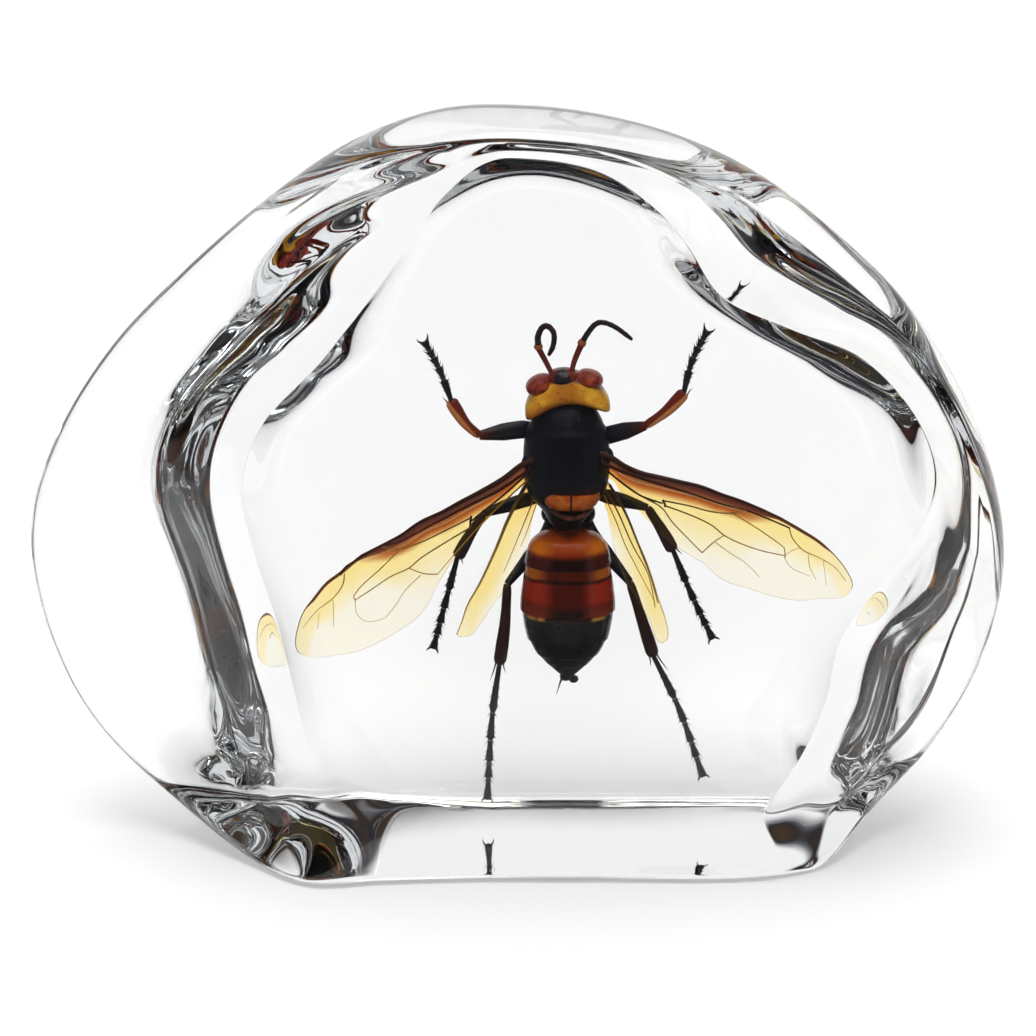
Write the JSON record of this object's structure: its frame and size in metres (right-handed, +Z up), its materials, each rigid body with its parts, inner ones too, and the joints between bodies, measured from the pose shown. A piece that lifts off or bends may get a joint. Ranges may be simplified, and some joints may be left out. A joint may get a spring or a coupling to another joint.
{
  "type": "insect in resin block",
  "caption": "Free-form clear cast block with scooped, rounded edges and a flat base to stand on, holding a large banded hornet with its wings and legs spread.",
  "frame": {"origin": "on the ground under the middle of the block's bounding box", "axes": "+Z up; -Y the way the polished window faces; +X to the viewer's right"},
  "size_m": [0.1088, 0.039, 0.0816],
  "materials": {
    "clear_resin": "polished clear cast resin, index about 1.49",
    "chitin": "dried insect shell, satin, black, red-brown and orange"
  },
  "bodies": {
    "root": {"resin_front": "clear_resin", "resin_back": "clear_resin", "hornet": "chitin"}
  },
  "joints": []
}
